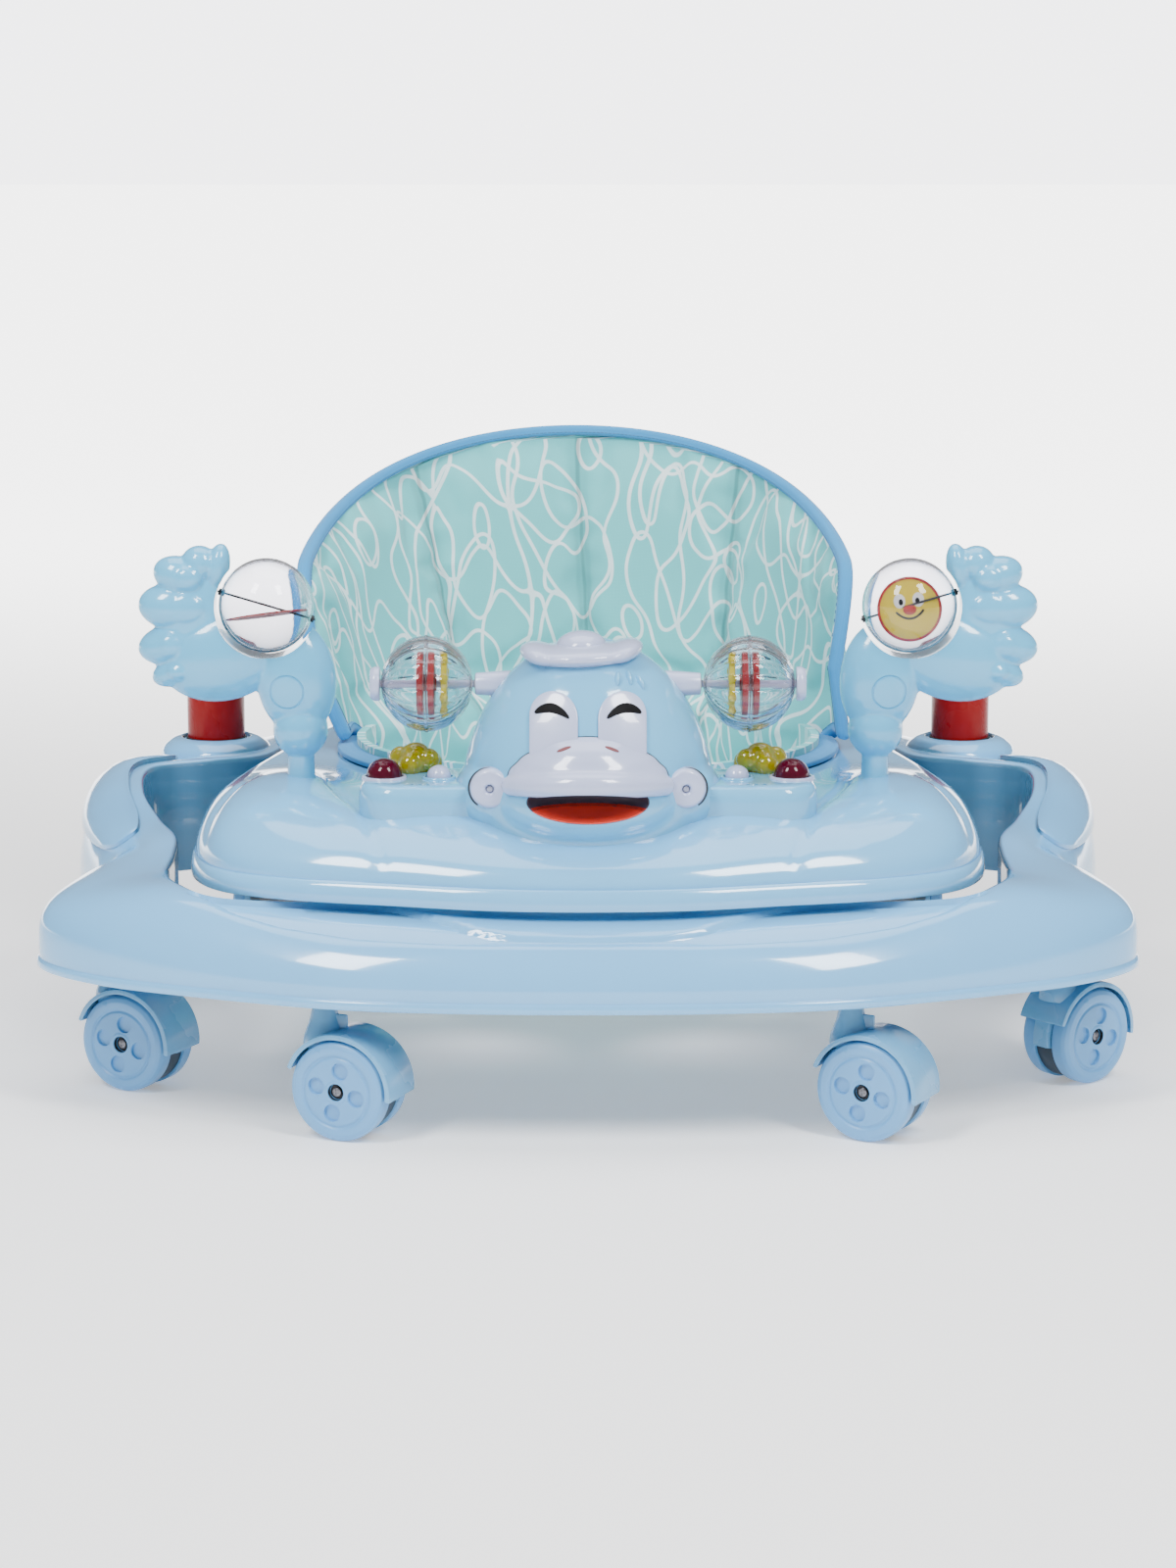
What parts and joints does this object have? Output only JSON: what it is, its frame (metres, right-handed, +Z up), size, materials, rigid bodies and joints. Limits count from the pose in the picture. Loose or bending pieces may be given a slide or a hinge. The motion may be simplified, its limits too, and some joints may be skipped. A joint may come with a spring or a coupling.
{
  "type": "baby walker",
  "caption": "Folding baby walker with a ring base on swivel casters, a scissor frame, a sling seat and a duck-faced play tray, shown folded.",
  "frame": {"origin": "on the floor, below the middle of the base ring", "axes": "+Z up, -Y towards the front where the duck looks, +X across"},
  "size_m": [0.7022, 0.65, 0.387],
  "materials": {
    "ring_plastic": "gloss light blue moulding",
    "tray_plastic": "gloss light blue moulding",
    "toy_plastic": "gloss sky blue moulding",
    "white_plastic": "gloss white moulding",
    "cream_plastic": "satin cream moulding",
    "red_plastic": "gloss red moulding",
    "mouth_plastic": "satin orange-red moulding",
    "maroon_plastic": "gloss maroon dome",
    "olive_plastic": "tinted translucent lens",
    "clear_plastic": "clear polished plastic, stated as glass for its look",
    "card": "printed card",
    "fork_plastic": "gloss blue moulding",
    "wheel_plastic": "satin blue moulding",
    "seat_fabric": "printed aqua fabric over thin padding",
    "steel": "zinc plated rivet"
  },
  "bodies": {
    "base": {"base_ring": "ring_plastic", "side_pad_left": "ring_plastic", "side_pad_right": "ring_plastic", "socket_block_left": "ring_plastic", "socket_block_right": "ring_plastic", "red_post_left": "red_plastic", "red_post_right": "red_plastic", "base_bracket_left": "cream_plastic", "base_bracket_right": "cream_plastic", "base_guide_left": "cream_plastic", "base_guide_right": "cream_plastic"},
    "frame_outer": {"frame_outer": "cream_plastic", "cross_rivet_left": "steel", "cross_rivet_right": "steel"},
    "frame_inner": {"frame_inner": "cream_plastic"},
    "tray": {"tray_shell": "tray_plastic", "tray_guide_left": "cream_plastic", "tray_guide_right": "cream_plastic", "tray_bracket_left": "cream_plastic", "tray_bracket_right": "cream_plastic", "duck_head": "toy_plastic", "mouth_liner": "mouth_plastic", "beak": "white_plastic", "hat": "white_plastic", "console_wing_left": "toy_plastic", "console_wing_right": "toy_plastic", "leaf_lens_left": "olive_plastic", "leaf_lens_right": "olive_plastic", "rattle_arm_left": "white_plastic", "rattle_arm_right": "white_plastic", "hand_left": "toy_plastic", "hand_right": "toy_plastic", "seat_hoop": "toy_plastic", "seat_pan": "seat_fabric", "seat_back": "seat_fabric"},
    "caster_fork_front_left": {"caster_fork_front_left": "fork_plastic"},
    "caster_wheels_front_left": {"caster_wheels_front_left": "wheel_plastic"},
    "caster_fork_front_right": {"caster_fork_front_right": "fork_plastic"},
    "caster_wheels_front_right": {"caster_wheels_front_right": "wheel_plastic"},
    "caster_fork_side_left": {"caster_fork_side_left": "fork_plastic"},
    "caster_wheels_side_left": {"caster_wheels_side_left": "wheel_plastic"},
    "caster_fork_side_right": {"caster_fork_side_right": "fork_plastic"},
    "caster_wheels_side_right": {"caster_wheels_side_right": "wheel_plastic"},
    "caster_fork_rear_left": {"caster_fork_rear_left": "fork_plastic"},
    "caster_wheels_rear_left": {"caster_wheels_rear_left": "wheel_plastic"},
    "caster_fork_rear_right": {"caster_fork_rear_right": "fork_plastic"},
    "caster_wheels_rear_right": {"caster_wheels_rear_right": "wheel_plastic"},
    "rattle_left": {"rattle_ball_left": "clear_plastic", "rattle_core_left": "red_plastic"},
    "hand_ball_left": {"clear_ball_left": "clear_plastic", "ball_card_left": "card"},
    "round_button_left": {"round_button_left": "maroon_plastic"},
    "small_button_left": {"small_button_left": "white_plastic"},
    "rattle_right": {"rattle_ball_right": "clear_plastic", "rattle_core_right": "red_plastic"},
    "hand_ball_right": {"clear_ball_right": "clear_plastic", "ball_card_right": "card"},
    "round_button_right": {"round_button_right": "maroon_plastic"},
    "small_button_right": {"small_button_right": "white_plastic"}
  },
  "joints": [
    {"name": "fold", "type": "hinge", "parent": "base", "child": "frame_outer", "pos_m": [0, 0.13, 0.105], "axis": [-1, 0, 0], "range_deg": [0, 26]},
    {"name": "frame_cross", "type": "hinge", "parent": "frame_outer", "child": "frame_inner", "pos_m": [0, -0.04931, 0.12069], "axis": [-1, 0, 0], "range_deg": [-52, 0]},
    {"name": "tray_tilt", "type": "hinge", "parent": "frame_inner", "child": "tray", "pos_m": [0, 0.13, 0.13638], "axis": [-1, 0, 0], "range_deg": [0, 26]},
    {"name": "caster_swivel_front_left", "type": "hinge", "parent": "base", "child": "caster_fork_front_left", "pos_m": [-0.16, -0.278, 0.085], "axis": [0, 0, 1], "continuous": true},
    {"name": "wheel_roll_front_left", "type": "hinge", "parent": "caster_fork_front_left", "child": "caster_wheels_front_left", "pos_m": [-0.14516, -0.28399, 0.031], "axis": [0.3746, 0.9272, 0], "continuous": true},
    {"name": "caster_swivel_front_right", "type": "hinge", "parent": "base", "child": "caster_fork_front_right", "pos_m": [0.16, -0.278, 0.085], "axis": [0, 0, 1], "continuous": true},
    {"name": "wheel_roll_front_right", "type": "hinge", "parent": "caster_fork_front_right", "child": "caster_wheels_front_right", "pos_m": [0.17399, -0.28576, 0.031], "axis": [0.4848, 0.8746, 0], "continuous": true},
    {"name": "caster_swivel_side_left", "type": "hinge", "parent": "base", "child": "caster_fork_side_left", "pos_m": [-0.302, -0.163, 0.085], "axis": [0, 0, 1], "continuous": true},
    {"name": "wheel_roll_side_left", "type": "hinge", "parent": "caster_fork_side_left", "child": "caster_wheels_side_left", "pos_m": [-0.28787, -0.17051, 0.031], "axis": [0.4695, 0.8829, 0], "continuous": true},
    {"name": "caster_swivel_side_right", "type": "hinge", "parent": "base", "child": "caster_fork_side_right", "pos_m": [0.302, -0.163, 0.085], "axis": [0, 0, 1], "continuous": true},
    {"name": "wheel_roll_side_right", "type": "hinge", "parent": "caster_fork_side_right", "child": "caster_wheels_side_right", "pos_m": [0.31426, -0.15271, 0.031], "axis": [-0.6428, 0.766, 0], "continuous": true},
    {"name": "caster_swivel_rear_left", "type": "hinge", "parent": "base", "child": "caster_fork_rear_left", "pos_m": [-0.245, 0.238, 0.085], "axis": [0, 0, 1], "continuous": true},
    {"name": "wheel_roll_rear_left", "type": "hinge", "parent": "caster_fork_rear_left", "child": "caster_wheels_rear_left", "pos_m": [-0.23824, 0.2525, 0.031], "axis": [-0.9063, 0.4226, 0], "continuous": true},
    {"name": "caster_swivel_rear_right", "type": "hinge", "parent": "base", "child": "caster_fork_rear_right", "pos_m": [0.245, 0.238, 0.085], "axis": [0, 0, 1], "continuous": true},
    {"name": "wheel_roll_rear_right", "type": "hinge", "parent": "caster_fork_rear_right", "child": "caster_wheels_rear_right", "pos_m": [0.23953, 0.25304, 0.031], "axis": [-0.9397, -0.342, 0], "continuous": true},
    {"name": "rattle_spin_left", "type": "hinge", "parent": "tray", "child": "rattle_left", "pos_m": [-0.1, -0.195, 0.264], "axis": [1, 0, 0], "continuous": true},
    {"name": "ball_spin_left", "type": "hinge", "parent": "tray", "child": "hand_ball_left", "pos_m": [-0.203, -0.15, 0.307], "axis": [0.9588, 0, -0.284], "continuous": true},
    {"name": "round_press_left", "type": "slide", "parent": "tray", "child": "round_button_left", "axis": [0, 0, -1], "range_m": [0, 0.003], "stiffness_N_per_m": 400, "springref_m": -0.001},
    {"name": "small_press_left", "type": "slide", "parent": "tray", "child": "small_button_left", "axis": [0, 0, -1], "range_m": [0, 0.003], "stiffness_N_per_m": 400, "springref_m": -0.001},
    {"name": "rattle_spin_right", "type": "hinge", "parent": "tray", "child": "rattle_right", "pos_m": [0.1, -0.195, 0.264], "axis": [1, 0, 0], "continuous": true},
    {"name": "ball_spin_right", "type": "hinge", "parent": "tray", "child": "hand_ball_right", "pos_m": [0.203, -0.15, 0.307], "axis": [-0.9588, 0, -0.284], "continuous": true},
    {"name": "round_press_right", "type": "slide", "parent": "tray", "child": "round_button_right", "axis": [0, 0, -1], "range_m": [0, 0.003], "stiffness_N_per_m": 400, "springref_m": -0.001},
    {"name": "small_press_right", "type": "slide", "parent": "tray", "child": "small_button_right", "axis": [0, 0, -1], "range_m": [0, 0.003], "stiffness_N_per_m": 400, "springref_m": -0.001}
  ],
  "couplings": [
    {"joint": "frame_cross", "follows": "fold", "ratio": -2},
    {"joint": "tray_tilt", "follows": "fold", "ratio": 1}
  ]
}
